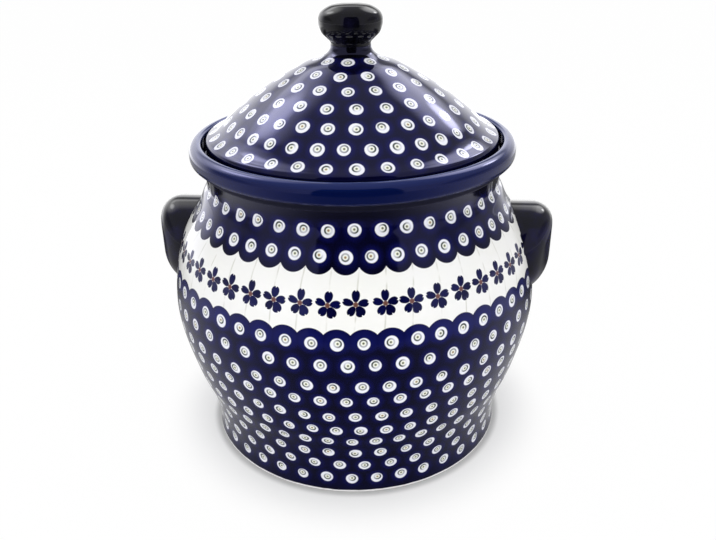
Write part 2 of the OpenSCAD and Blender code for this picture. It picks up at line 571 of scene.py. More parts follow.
@dataclass(frozen=True)
class FlowerRow:
    """Row of plain five-petalled flowers on the white band.

    Petals are counted clockwise from the upright one, each with its lean in degrees, and its
    width and length as shares of the usual ones.
    """

    height: float = 149.0
    count: int = 46
    turn: float = 5.85
    sway: float = 0.9
    tilt: float = 0.14
    tilt_least: float = -0.03
    reach: float = 7.9
    base: float = 1.4
    width: float = 3.4
    swell: float = 0.35
    taper: float = 3.0
    share_least: float = 0.0001
    notch: float = 6.9
    notch_slope: float = 1.6
    notch_soft: Span = (0.35, -0.15)
    side_soft: Span = (-0.15, 0.3)
    leans: tuple[float, ...] = (2.7, 8.7, 5.7, -2.3, -0.8)
    widths: tuple[float, ...] = (1.0, 1.0, 1.24, 0.96, 0.9)
    lengths: tuple[float, ...] = (1.04, 0.97, 1.03, 0.94, 0.97)
    length_least: float = 0.97
    length_play: float = 0.06
    width_least: float = 0.95
    width_play: float = 0.1
    heart: float = 1.55
    heart_soft: Span = (0.3, -0.35)
    heart_strength: float = 0.95
    light_share: float = 0.7
    flower_key: float = 11.0
    petal_key: float = 5.0
    petal: Rgb = (0.0015, 0.0017, 0.024)
    petal_light: Rgb = (0.003, 0.005, 0.065)
    rust: Rgb = (0.125, 0.037, 0.02)

    def lay(self, graph: Graph, place: PotPlace, run: float, under: Any) -> bpy.types.NodeSocket:
        """Lay the flowers over the band.

        A petal's half width at a share u of its length is width * u^swell * root(1 - u^taper),
        and a shallow V notches its tip.

        Args:
            graph: The finish's graph.
            place: The place on the pot.
            run: Run of the flowers' middles.
            under: The band's colour.

        Returns:
            The band's colour with the flowers on it.
        """
        number, across = place.cell(self.count, self.turn)
        sway_x, sway_y, tilt = graph.dice(number, self.flower_key)
        dx = across + sway_x.about(self.sway)
        dy = place.run - run + sway_y.about(self.sway)
        far = graph.far(dx, dy)
        angle = graph.math("ARCTAN2", dx, dy) - tilt * self.tilt - self.tilt_least
        fifth = TURN / len(self.leans)
        sector = (angle / fifth).nearest()
        petals = sector % float(len(self.leans))
        lean = graph.choose(petals, tuple(math.radians(value) for value in self.leans))
        bend = angle - sector * fifth - lean
        along = far * graph.math("COSINE", bend)
        aside = abs(far * graph.math("SINE", bend))

        long_dice, wide_dice, tone = graph.dice(number, petals, self.petal_key)
        long = long_dice * self.length_play + self.length_least
        long = graph.choose(petals, self.lengths) * long
        wide = wide_dice * self.width_play + self.width_least
        wide = graph.choose(petals, self.widths) * wide
        share = (along - self.base) / (long * self.reach - self.base)
        u = graph.math("MAXIMUM", share, self.share_least)
        half = u**self.swell * (1.0 - u**self.taper).root() * wide * self.width
        notch = along - aside * self.notch_slope - long * self.notch
        petal = graph.ease(half - aside, *self.side_soft) * graph.ease(notch, *self.notch_soft)
        blue = graph.mix(tone * self.light_share, ink(self.petal), ink(self.petal_light))
        colour = graph.mix(petal, under, blue)
        heart = graph.ease(far - self.heart, *self.heart_soft) * self.heart_strength
        return graph.mix(heart, colour, ink(self.rust))


@dataclass(frozen=True)
class WhiteBand:
    """White band between the scallops, with cream patches, upright lines and flowers."""

    flowers: FlowerRow = FlowerRow()
    lines: UprightLines = UprightLines()
    patch_scale: float = 90.0
    patch_detail: float = 3.0
    white: Rgb = (0.88, 0.88, 0.87)
    cream: Rgb = (0.87, 0.87, 0.83)
    line: Rgb = (0.5, 0.5, 0.42)

    def colour(
        self, graph: Graph, place: PotPlace, run: float, row: StampRow
    ) -> bpy.types.NodeSocket:
        """Colour of the band.

        Args:
            graph: The finish's graph.
            place: The place on the pot.
            run: Run of the flowers' middles.
            row: Row of dots above the band.

        Returns:
            The band's colour.
        """
        patches = graph.noise(place.at, self.patch_scale, self.patch_detail)
        colour = graph.mix(patches, ink(self.white), ink(self.cream))
        start = row.height - self.flowers.height + run
        share = self.lines.share(graph, place, row, start)
        colour = graph.mix(share, colour, ink(self.line))
        return self.flowers.lay(graph, place, run, colour)


@dataclass(frozen=True)
class BareClay:
    """Unglazed clay with darker grit in it."""

    clay: Rgb
    grit: Rgb = (0.62, 0.6, 0.57)
    grit_scale: float = 900.0
    grit_detail: float = 3.0
    grit_share: float = 0.25

    def colour(self, graph: Graph, at: Any) -> bpy.types.NodeSocket:
        """Colour of the clay at a place."""
        share = graph.noise(at, self.grit_scale, self.grit_detail) * self.grit_share
        return graph.mix(share, ink(self.clay), ink(self.grit))


@dataclass(frozen=True)
class Gloss:
    """Glassy surface of the glaze, with the tint of its sheen, and dull bare clay.

    Swell, ripple and smear are each a noise's cells in a metre and its strength.
    """

    sheen: Rgb = (1.0, 1.0, 1.0)
    bend: float = 1.5
    glaze_rough: float = 0.055
    clay_rough: float = 0.75
    wave: float = 0.12
    wave_depth: float = 0.0012
    swell: tuple[float, float] = (45.0, 0.8)
    ripple: tuple[float, float] = (420.0, 0.06)
    smear: tuple[float, float] = (150.0, 0.03)

    def finish(self, graph: Graph, at: Any, colour: Any, glazed: Number) -> None:
        """Join colour, gloss and the faint waves of the fired surface to the output.

        Args:
            graph: The finish's graph.
            at: Object coordinates.
            colour: Base colour.
            glazed: 1 where the surface is glazed, 0 on bare clay.
        """
        waves = graph.noise(at, self.swell[0], 1.0) * self.swell[1]
        waves = waves + graph.noise(at, self.ripple[0]) * self.ripple[1]
        heights = {"Strength": self.wave, "Distance": self.wave_depth, "Height": waves}
        bump = graph.node("ShaderNodeBump", None, heights)
        smear = graph.noise(at, self.smear[0]) * self.smear[1]
        inputs = {
            "Base Color": colour,
            "Roughness": self.clay_rough - glazed * (self.clay_rough - self.glaze_rough) + smear,
            "Specular Tint": ink(self.sheen),
            "IOR": self.bend,
            "Normal": bump.outputs[0],
        }
        graph.show(graph.node("ShaderNodeBsdfPrincipled", None, inputs))


LILAC_GLOSS = Gloss(sheen=LILAC, bend=1.75)


@dataclass(frozen=True)
class DarkGlaze:
    """Near-black plain glaze of the lugs and the knob, with a blue cast where it is thin."""

    name: str
    deep: Rgb
    thin: Rgb
    cloud: Cloud = Cloud(70.0, 3.0, (0.4, 0.75))
    pit_scale: float = 300.0
    pit_share: float = 0.02
    gloss: Gloss = Gloss()

    def material(self) -> bpy.types.Material:
        """Make the finish.

        Returns:
            The material.
        """
        made, graph = new_finish(self.name)
        at = graph.place()
        colour = graph.mix(self.cloud.share(graph, at), ink(self.deep), ink(self.thin))
        pits = graph.noise(at, self.pit_scale) * self.pit_share
        self.gloss.finish(graph, at, colour, 1.0 - pits)
        return made


KNOB_GLAZE = DarkGlaze("knob_glaze", (0.0015, 0.0015, 0.003), (0.004, 0.0035, 0.014))
LUG_GLAZE = DarkGlaze("lug_glaze", (0.002, 0.0019, 0.008), (0.005, 0.004, 0.034))


def arc(centre: Point, radius: float, start: float, stop: float, count: int = 9) -> np.ndarray:
    """Points of an arc: centre + radius * (cos a, sin a) at evenly spaced angles in degrees."""
    angle = np.radians(np.linspace(start, stop, count))
    return np.array(centre) + radius * np.stack([np.cos(angle), np.sin(angle)], axis=1)


def line(*points: Point, count: int = 8) -> np.ndarray:
    """Points of a broken line: each stretch's start + share * stretch, for even shares.

    Args:
        points: Ends of the stretches.
        count: Points made for each stretch.

    Returns:
        The points, without the last end.
    """
    ends = np.array(points, float)
    share = np.linspace(0.0, 1.0, count, endpoint=False)[None, :, None]
    return (ends[:-1, None] + (ends[1:] - ends[:-1])[:, None] * share).reshape(-1, 2)


def smooth(stations: np.ndarray, steps: int = 14) -> np.ndarray:
    """Curve through stations: centripetal Catmull-Rom, blended by Aitken-Neville steps.

    Args:
        stations: Points that the curve runs through, one a row.
        steps: Points made for each span.

    Returns:
        The curve's points, the last station included.
    """
    ends = [2 * stations[:1] - stations[1:2], stations, 2 * stations[-1:] - stations[-2:-1]]
    q = np.concatenate(ends)
    gaps = np.sqrt(np.linalg.norm(np.diff(q, axis=0), axis=1))
    knots = np.concatenate([[0.0], np.cumsum(gaps)])
    p = [q[i : len(q) - 3 + i, None] for i in range(4)]
    t = [knots[i : len(q) - 3 + i, None, None] for i in range(4)]
    at = t[1] + (t[2] - t[1]) * np.linspace(0.0, 1.0, steps, endpoint=False)[None, :, None]

    def blend(a: np.ndarray, b: np.ndarray, ta: np.ndarray, tb: np.ndarray) -> np.ndarray:
        """Straight line between two points at two knots, read at the wanted knots."""
        return a + (b - a) * (at - ta) / (tb - ta)

    a1, a2, a3 = (blend(p[i], p[i + 1], t[i], t[i + 1]) for i in range(3))
    b1, b2 = blend(a1, a2, t[0], t[2]), blend(a2, a3, t[1], t[3])
    return np.concatenate([blend(b1, b2, t[1], t[2]).reshape(-1, 2), stations[-1:]])


def between(low: np.ndarray, high: np.ndarray, shares: list[Point]) -> np.ndarray:
    """Points at given shares of the way from one point to another, axis by axis."""
    return np.array(low) + (np.array(high) - np.array(low)) * np.array(shares)


def inset(curve: np.ndarray, depth: float) -> np.ndarray:
    """Curve moved to its left: point + depth * normal, with normals from its neighbours.

    Args:
        curve: Points of the curve, one a row.
        depth: How far it is moved.

    Returns:
        The moved points.
    """
    along = np.gradient(curve, axis=0)
    along /= np.linalg.norm(along, axis=1, keepdims=True)
    return curve + depth * np.stack([-along[:, 1], along[:, 0]], axis=1)


def put_mesh(
    name: str, points: np.ndarray, faces: list[list[int]], material: bpy.types.Material
) -> bpy.types.Object:
    """Make a smooth mesh object at the origin.

    Args:
        name: Name of the object and its mesh.
        points: Points in millimetres, one a row.
        faces: Point numbers of each face.
        material: Its finish.

    Returns:
        The object, with its mesh in metres.
    """
    mesh = bpy.data.meshes.new(name)
    mesh.from_pydata((points * MM).tolist(), [], faces)
    mesh.polygons.foreach_set("use_smooth", np.ones(len(mesh.polygons), bool))
    mesh.materials.append(material)
    mesh.update()
    made = bpy.data.objects.new(name, mesh)
    bpy.context.scene.collection.objects.link(made)
    return made


def quads(rows: int, columns: int, first: int) -> np.ndarray:
    """Faces of a grid whose columns wrap round.

    Args:
        rows: Rows of points.
        columns: Points in a row.
        first: Number of the first point.

    Returns:
        Four point numbers a face.
    """
    index = first + np.arange(rows * columns).reshape(rows, columns)
    low, high = index[:-1], index[1:]
    loop = [low, np.roll(low, -1, axis=1), np.roll(high, -1, axis=1), high]
    return np.stack(loop, axis=-1).reshape(-1, 4)


class Outline:
    """Half section of a turned piece, from the axis round to the axis, in named stretches."""

    def __init__(self) -> None:
        """Start with no stretch."""
        self.stretches: list[tuple[str, np.ndarray]] = []

    def add(self, name: str, *pieces: np.ndarray) -> None:
        """Add a stretch, made of one or more runs of points."""
        self.stretches.append((name, np.concatenate(pieces)))

    def points(self) -> np.ndarray:
        """Join the stretches.

        Returns:
            All points, with repeated ones left out.
        """
        every = np.concatenate([points for _, points in self.stretches])
        keep = np.linalg.norm(np.diff(every, axis=0), axis=1) > SAME
        return every[np.concatenate([[True], keep])]

    @staticmethod
    def run(points: np.ndarray) -> np.ndarray:
        """Length along the points, from the first one."""
        return np.concatenate([[0.0], np.cumsum(np.linalg.norm(np.diff(points, axis=0), axis=1))])

    def start(self, name: str) -> float:
        """Find where a stretch starts.

        Args:
            name: Name of the stretch.

        Returns:
            The run of its first point.
        """
        names = [stretch for stretch, _ in self.stretches]
        before = self.stretches[: names.index(name)]
        first = self.stretches[names.index(name)][1][:1]
        return float(self.run(np.concatenate([points for _, points in before] + [first]))[-1])

    def run_at(self, name: str, height: float) -> float:
        """Run at a height on a stretch that only rises."""
        points = dict(self.stretches)[name]
        return self.start(name) + float(np.interp(height, points[:, 1], self.run(points)))

    def turn(
        self, name: str, material: bpy.types.Material, segments: int = 256
    ) -> bpy.types.Object:
        """Revolve the outline: a point (r, z) goes to (r sin a, -r cos a, z) at each azimuth a.

        Args:
            name: Name of the piece.
            material: Its finish.
            segments: Steps round the axis.

        Returns:
            The piece, with both poles closed and its run kept as an attribute.
        """
        points = self.points()
        runs = self.run(points)
        ring = points[1:-1]
        azimuth = np.linspace(0.0, TURN, segments, endpoint=False)
        x, y = np.outer(ring[:, 0], np.sin(azimuth)), np.outer(ring[:, 0], -np.cos(azimuth))
        z = np.repeat(ring[:, 1:], segments, axis=1)
        poles = np.array([[0.0, 0.0, points[0, 1]], [0.0, 0.0, points[-1, 1]]])
        every = np.concatenate([poles, np.stack([x, y, z], axis=-1).reshape(-1, 3)])
        first = len(poles) + np.arange(segments)
        last = first + (len(ring) - 1) * segments
        bottom = np.stack([np.zeros_like(first), np.roll(first, -1), first], axis=1)
        top = np.stack([np.ones_like(last), last, np.roll(last, -1)], axis=1)
        sides = quads(len(ring), segments, len(poles))
        faces = sides.tolist() + bottom.tolist() + top.tolist()
        made = put_mesh(name, every, faces, material)
        kept = np.concatenate([runs[[0, -1]], np.repeat(runs[1:-1], segments)])
        values = made.data.attributes.new(RUN, "FLOAT", "POINT").data
        values.foreach_set("value", kept.astype(np.float32))
        return made


def settle(piece: bpy.types.Object, body: Body, slot: Slot, *nodes: str) -> bpy.types.Object:
    """Let a piece ride on a body in place of its CAD nodes, and report it.

    Args:
        piece: The piece.
        body: The body that carries it.
        slot: Its material slot; not used.
        nodes: CAD nodes that it stands for.

    Returns:
        The piece.
    """
    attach(piece, body.value)
    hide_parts(*nodes)
    LOG.info("%s stands for %s, %d faces", piece.name, ", ".join(nodes), len(piece.data.polygons))
    return piece


@dataclass
class Jar:
    """Bellied jar with a foot ring, a neck, and a collar that holds the lid's seat.

    Points are a radius and a height. Spans of the dress are measured along the outline, from
    the top row of dots or from the start of the stretch that their name gives.
    """

    foot_r: float = 106.3
    waist: Point = (105.7, 12.0)
    belly: Point = (127.18, 106.0)
    neck: Point = (98.5, 188.0)
    flare: Point = (103.3, 203.3)
    mouth_r: float = 88.8
    wall: float = 7.0
    foot_recess: float = 3.0
    recess_round: float = 1.2
    foot_ring: float = 9.0
    heel_in: float = 0.8
    heel_round: float = 1.0
    heel_lead: float = 0.1
    foot_round: float = 0.9
    floor_z: float = 12.0
    floor_round: float = 12.0
    floor_lead: float = 0.5
    collar_r: float = 108.3
    collar_top: float = 216.3
    under_round: float = 4.0
    under_lead: float = 0.2
    top_round: float = 6.0
    lip_r: float = 100.0
    lip_round: float = 2.0
    lip_lead: float = 0.1
    gallery_draft: float = 0.85
    seat_z: float = 206.3
    seat_round: float = 1.5
    seat_lead: float = 0.25
    mouth_lead: float = 0.3
    rows: tuple[StampRow, ...] = (
        StampRow(11.4, 40, 3.4),
        StampRow(23.7, 40, 8.1),
        StampRow(35.7, 41, 4.6),
        StampRow(48.4, 48, 3.8),
        StampRow(60.0, 48, 6.8),
        StampRow(72.7, 48, 5.1),
        StampRow(86.6, 49, 2.7),
        StampRow(97.8, 48, 6.9),
        StampRow(112.6, 49, 3.3),
        StampRow(126.7, 50, 7.7),
        StampRow(172.85, 44, 2.8),
        StampRow(186.36, 41, 5.8),
    )
    upper_row: int = 10
    upper_edge: Scallop = Scallop(8.77, 1.73)
    lower_edge: Scallop = Scallop(10.33, -1.33)
    scallop_soft: Span = (-0.2, 0.25)
    band: WhiteBand = WhiteBand()
    # painted shade: near-black blue laid over the neck under the collar and in the gallery, where
    # shade falls
    painted_shade_blue: Rgb = (0.0012, 0.0012, 0.006)
    neck_painted_shade: Span = (4.5, 9.0)
    collar_blue: Rgb = (0.0012, 0.0042, 0.04)
    collar_rise: Span = (1.0, 4.0)
    groove_rise: Span = (-7.0, -4.5)
    groove_fall: Span = (4.5, 2.0)
    groove_dull: float = 0.85
    # painted highlight: lighter blue on the collar's rounded top, where it catches the light
    crest_highlight_blue: Rgb = (0.005, 0.014, 0.085)
    crest_rise: Span = (-8.0, -2.0)
    # partly glaze thinning on the lip's edge, partly a painted highlight along the lip
    lip_glaze_and_highlight_blue: Rgb = (0.055, 0.08, 0.23)
    lip_rise: Span = (-1.8, -0.2)
    lip_fall: Span = (3.6, 2.2)
    lip_scale: float = 120.0
    lip_least: float = 0.44
    lip_play: float = 0.48
    gallery_painted_shade: Span = (-0.5, 1.5)
    inside_rise: Span = (0.0, 1.0)
    ledge_r: float = 95.0
    ledge_soft: float = 0.4
    clay: BareClay = BareClay((0.88, 0.875, 0.86))
    glaze_edge: float = 1.6
    glaze_soft: float = 0.25
    glaze_wander: float = 0.9
    wander_scale: float = 110.0
    # painted shade: darker clay along the foot's bottom edge stands in for the contact shadow line
    wear_and_painted_shade: Rgb = (0.4, 0.38, 0.36)
    foot_shade_z: float = 0.3
    foot_shade_soft: float = 0.3
    gloss: Gloss = LILAC_GLOSS

    def outer_curve(self) -> np.ndarray:
        """Outside of the wall from the foot to the collar.

        Returns:
            Points of a smooth curve through stations, most given as shares of the way from one
            named point to the next.
        """
        rise = [(0.21, 0.255), (0.6, 0.51)]
        fall = [(0.312, 0.56), (0.753, 0.815), (0.906, 0.933), (0.983, 0.978)]
        sweep = [(0.125, 0.294), (0.437, 0.6)]
        stations = [
            [(self.foot_r, self.foot_round), self.waist],
            between(self.waist, self.belly, rise),
            [self.belly],
            between(self.belly, self.neck, fall),
            [self.neck],
            between(self.neck, self.flare, sweep),
            [self.flare],
        ]
        return smooth(np.concatenate([np.array(part, float) for part in stations]))

    def outline(self) -> Outline:
        """Half section of the jar.

        Returns:
            The outline: underside, wall, collar, lip, gallery and inside.
        """
        curve = self.outer_curve()
        mouth, base, top, seat = self.mouth_r, self.flare[1], self.collar_top, self.seat_z
        under, over, lip = self.under_round, self.top_round, self.lip_round
        inner = inset(curve, self.wall)[::2]
        rises = inner[:, 1] > self.floor_z + self.floor_round
        inner = inner[rises & (inner[:, 1] < base - 2 * self.wall)][::-1]
        floor_r, floor_top = inner[-1, 0] - self.floor_round, self.floor_z + self.floor_round
        recess, ring_in = self.foot_recess, self.foot_r - self.foot_ring
        recess_r, heel_r = ring_in - recess, ring_in + self.heel_in
        foot_r = self.foot_r - self.foot_round
        corner, soft = self.lip_r - self.gallery_draft, self.seat_round
        rise, fall = base + under + self.under_lead, top - lip - self.lip_lead
        ledge, throat = corner - soft - self.seat_lead, seat - soft - self.mouth_lead
        made = Outline()
        made.add(
            "underside",
            line((0.0, recess), (recess_r, recess)),
            arc((recess_r, recess - self.recess_round), self.recess_round, 90, 45, 4),
            arc((heel_r, self.heel_round), self.heel_round, 225, 270, 5),
            line((heel_r + self.heel_lead, 0.0), (foot_r, 0.0), count=3),
            arc((foot_r, self.foot_round), self.foot_round, -90, 0)[:-1],
        )
        made.add("wall", curve)
        made.add(
            "collar",
            arc((self.collar_r - under, base + under), under, -90, 0, 13),
            line((self.collar_r, rise), (self.collar_r, top - over), count=4),
            arc((self.collar_r - over, top - over), over, 0, 90, 19),
        )
        made.add("lip", arc((self.lip_r + lip, top - lip), lip, 90, 180, 11))
        made.add(
            "gallery",
            line((self.lip_r, fall), (corner, seat + soft), count=5),
            arc((corner - soft, seat + soft), soft, 0, -90, 7),
            line((ledge, seat), (mouth + soft, seat), count=6),
            arc((mouth + soft, seat - soft), soft, 90, 180, 7),
        )
        made.add(
            "inside",
            line((mouth, throat), (mouth, base - self.wall), count=4),
            inner,
            arc((floor_r, floor_top), self.floor_round, 0, -90, 13),
            line((floor_r - self.floor_lead, self.floor_z), (0.0, self.floor_z)),
            np.array([[0.0, self.floor_z]]),
        )
        return made

    def dress(self, outline: Outline) -> bpy.types.Material:
        """Finish of the jar: stamped fields, flower band, plain collar, white inside, bare foot.

        Args:
            outline: The jar's outline, which gives the runs.

        Returns:
            The material.
        """
        made, graph = new_finish("stamped_jar_glaze")
        place = PotPlace(graph)
        runs = tuple(outline.run_at("wall", row.height) for row in self.rows)
        below, above = runs[self.upper_row - 1], runs[self.upper_row]
        field = StampField(self.rows, runs, lobe_row=self.upper_row - 1)
        colour, across, up = field.colour(graph, place)
        flowers = outline.run_at("wall", self.band.flowers.height)
        band = self.band.colour(graph, place, flowers, self.rows[self.upper_row])
        upper = place.run > (below + above) / 2.0
        down, rise = -up - self.upper_edge.reach(across), up - self.lower_edge.reach(across)
        past = upper * down + (1.0 - upper) * rise
        held = (place.run > below) * (1.0 - (place.run > above))
        colour = graph.mix(graph.ease(past, *self.scallop_soft) * held, colour, band)

        collar, lip = outline.start("collar"), outline.start("lip")
        gallery, inside = outline.start("gallery"), outline.start("inside")
        shade = ink(self.painted_shade_blue)
        # painted shade: the neck under the collar's overhang is darkened to near-black blue
        colour = graph.mix(place.past(runs[-1], self.neck_painted_shade), colour, shade)
        colour = graph.mix(place.past(collar, self.collar_rise), colour, ink(self.collar_blue))
        # painted highlight: the collar's rounded top is lightened towards the lip
        colour = graph.mix(place.past(lip, self.crest_rise), colour, ink(self.crest_highlight_blue))
        # the lip's pale line: glaze that thins at random along the edge, with a painted highlight
        # in the same colour
        edge = place.past(lip, self.lip_rise) * place.past(lip, self.lip_fall)
        thin = graph.noise(place.at, self.lip_scale) * self.lip_play + self.lip_least
        colour = graph.mix(edge * thin, colour, ink(self.lip_glaze_and_highlight_blue))
        # painted shade: the gallery, the recess inside the collar, is darkened with the same
        # near-black blue
        colour = graph.mix(place.past(gallery, self.gallery_painted_shade), colour, shade)
        within = place.past(inside, self.inside_rise)
        colour = graph.mix(within, colour, ink(INSIDE_WHITE))

        ledge = graph.within(place.radius, self.ledge_r, self.ledge_soft)
        ledge = ledge * (place.run > gallery) * (1.0 - within)
        wander = graph.noise(place.at, self.wander_scale).about(self.glaze_wander)
        foot = graph.within(place.height + wander, self.glaze_edge, self.glaze_soft)
        bare = graph.math("MAXIMUM", ledge, foot * (1.0 - (place.run > runs[0])))
        clay = self.clay.colour(graph, place.at)
        # painted shade: the clay is darkened along the foot's bottom edge, as a contact shadow
        wear_and_painted_shade = graph.within(place.height, self.foot_shade_z, self.foot_shade_soft)
        colour = graph.mix(bare, colour, graph.mix(wear_and_painted_shade, clay, ink(self.wear_and_painted_shade)))
        groove = place.past(collar, self.groove_rise) * place.past(collar, self.groove_fall)
        dull = graph.math("MAXIMUM", bare, groove * self.groove_dull)
        self.gloss.finish(graph, place.at, colour, 1.0 - dull)
        return made

    def build(self) -> bpy.types.Object:
        """Make the jar and dress it.

        Returns:
            The piece.
        """
        outline = self.outline()
        piece = outline.turn("glazed_jar", self.dress(outline))
        return settle(piece, Body.JAR, Slot.STAMPED, "jar_body")


@dataclass
class Lid:
    """Bell-shaped lid with a flat seat, a centring ring and a hollow dome.

    Spans of the dress are measured along the outline from the stretch that their name gives.
    """

    rim_r: float = 97.2
    seat_z: float = 206.5
    rim_h: float = 5.0
    top_z: float = 273.8
    top_r: float = 13.2
    wall: float = 7.0
    ring_r: float = 86.4
    ring_t: float = 6.0
    ring_h: float = 10.0
    ring_meet: float = 1.5
    ring_fillet: float = 1.0
    ring_lead: float = 0.5
    top_lead: float = 0.4
    crown_share: float = 0.3
    crown_rise: float = 2.0
    edge_round: float = 1.5
    rows: tuple[StampRow, ...] = (
        StampRow(220.2, 33, -3.8),
        StampRow(228.5, 33, 2.2),
        StampRow(237.5, 28, -5.9),
        StampRow(246.0, 21, 8.3),
        StampRow(253.5, 17, 2.5),
        StampRow(260.1, 13, -5.3),
        StampRow(265.6, 9, 0.2),
    )
    stamp: DotStamp = DotStamp(radius=4.15, ring_out=2.7, ring_in=1.7)
    neck_dark: Rgb = (0.0015, 0.0015, 0.003)
    neck_z: float = 267.6
    neck_soft: float = 0.5
    neck_wander: float = 1.2
    wander_scale: float = 130.0
    bell_rise: Span = (-3.4, -2.6)
    ring_bare: Span = (8.0, 9.0)
    clay: BareClay = BareClay((0.8, 0.79, 0.77))
    gloss: Gloss = LILAC_GLOSS

    def outline(self) -> Outline:
        """Half section of the lid, with a flared brim and a tight fillet under the knob.

        Returns:
            The outline: inside, ring, bell, top and end.
        """
        rim_top = np.array([self.rim_r, self.seat_z + self.rim_h])
        foot = np.array([self.top_r, self.top_z])
        edge = [(0.0012, 0.048), (0.0048, 0.082), (0.0155, 0.1027)]
        brim = [(0.043, 0.122), (0.088, 0.154), (0.138, 0.21)]
        dome = [(0.188, 0.278), (0.445, 0.543), (0.657, 0.716), (0.8, 0.82)]
        neck = [(0.924, 0.878), (0.976, 0.921), (0.9952, 0.958)]
        shares = between(rim_top, foot, edge + brim + dome + neck)
        curve = smooth(np.concatenate([[rim_top], shares, [foot]]), 9)
        inner = inset(curve, self.wall)[::2]
        ring_in = self.ring_r - self.ring_t
        inner = inner[(inner[:, 0] < ring_in) & (inner[:, 0] > self.crown_share * self.rim_r)]
        low, seat = self.seat_z - self.ring_h, self.seat_z
        r, fillet = self.edge_round, self.ring_fillet
        crown = (0.0, float(inner[-1, 1]) + self.crown_rise)
        made = Outline()
        made.add("inside", line(crown, tuple(inner[-1])), inner[::-1])
        made.add(
            "ring",
            line((ring_in, float(inner[0, 1]) - self.ring_meet), (ring_in, low + r), count=4),
            arc((ring_in + r, low + r), r, 180, 270, 6),
            arc((self.ring_r - r, low + r), r, -90, 0, 6),
            line((self.ring_r, low + r + self.ring_lead), (self.ring_r, seat - fillet), count=3),
            arc((self.ring_r + fillet, seat - fillet), fillet, 180, 90, 4),
            arc((self.rim_r - r, seat + r), r, -90, 0, 7),
        )
        made.add("bell", curve)
        top_in = self.top_r - self.top_lead
        made.add("top", line((top_in, self.top_z), (0.0, self.top_z), count=3))
        made.add("end", np.array([[0.0, self.top_z]]))
        return made

    def dress(self, outline: Outline) -> bpy.types.Material:
        """Finish of the lid: stamped bell, plain dark neck, bare seat, white underside.

        Args:
            outline: The lid's outline, which gives the runs.

        Returns:
            The material.
        """
        made, graph = new_finish("stamped_lid_glaze")
        place = PotPlace(graph)
        runs = tuple(outline.run_at("bell", row.height) for row in self.rows)
        colour, _, _ = StampField(self.rows, runs, self.stamp).colour(graph, place)
        brushed = place.height + graph.noise(place.at, self.wander_scale).about(self.neck_wander)
        below = graph.within(brushed, self.neck_z, self.neck_soft)
        colour = graph.mix(below, ink(self.neck_dark), colour)
        outside = place.past(outline.start("bell"), self.bell_rise)
        bare = (1.0 - outside) * place.past(outline.start("ring"), self.ring_bare)
        colour = graph.mix(outside, ink(INSIDE_WHITE), colour)
        colour = graph.mix(bare, colour, self.clay.colour(graph, place.at))
        self.gloss.finish(graph, place.at, colour, 1.0 - bare)
        return made

    def build(self) -> bpy.types.Object:
        """Make the lid and dress it.

        Returns:
            The piece.
        """
        outline = self.outline()
        piece = outline.turn("glazed_lid", self.dress(outline))
        return settle(piece, Body.LID, Slot.STAMPED, "lid")


@dataclass
class Knob:
    """Round knob on a short neck."""

    base_z: float = 273.8
    height: float = 25.1
    neck_r: float = 13.2
    radius: float = 20.8
    base_lead: float = 0.3
    segments: int = 128
    glaze: DarkGlaze = KNOB_GLAZE

    def outline(self) -> Outline:
        """Half section of the knob.

        Returns:
            The outline: base and ball.
        """
        foot = np.array([self.neck_r, self.base_z])
        crown = np.array([self.radius, self.base_z + self.height])
        shares = [(0.02, 0.07), (0.32, 0.165), (0.77, 0.31), (1.0, 0.54), (0.8, 0.77)]
        cap = between((0.0, self.base_z), crown, [(0.65, 0.93), (0.33, 0.99), (0.0, 1.0)])
        curve = smooth(np.concatenate([[foot], between(foot, crown, shares), cap]), 10)
        made = Outline()
        base_r = self.neck_r - self.base_lead
        made.add("base", line((0.0, self.base_z), (base_r, self.base_z), count=3))
        made.add("ball", curve)
        return made

    def build(self) -> bpy.types.Object:
        """Make the knob in its plain glaze."""
        piece = self.outline().turn("glazed_knob", self.glaze.material(), self.segments)
        return settle(piece, Body.LID, Slot.PLAIN, "lid_knob")


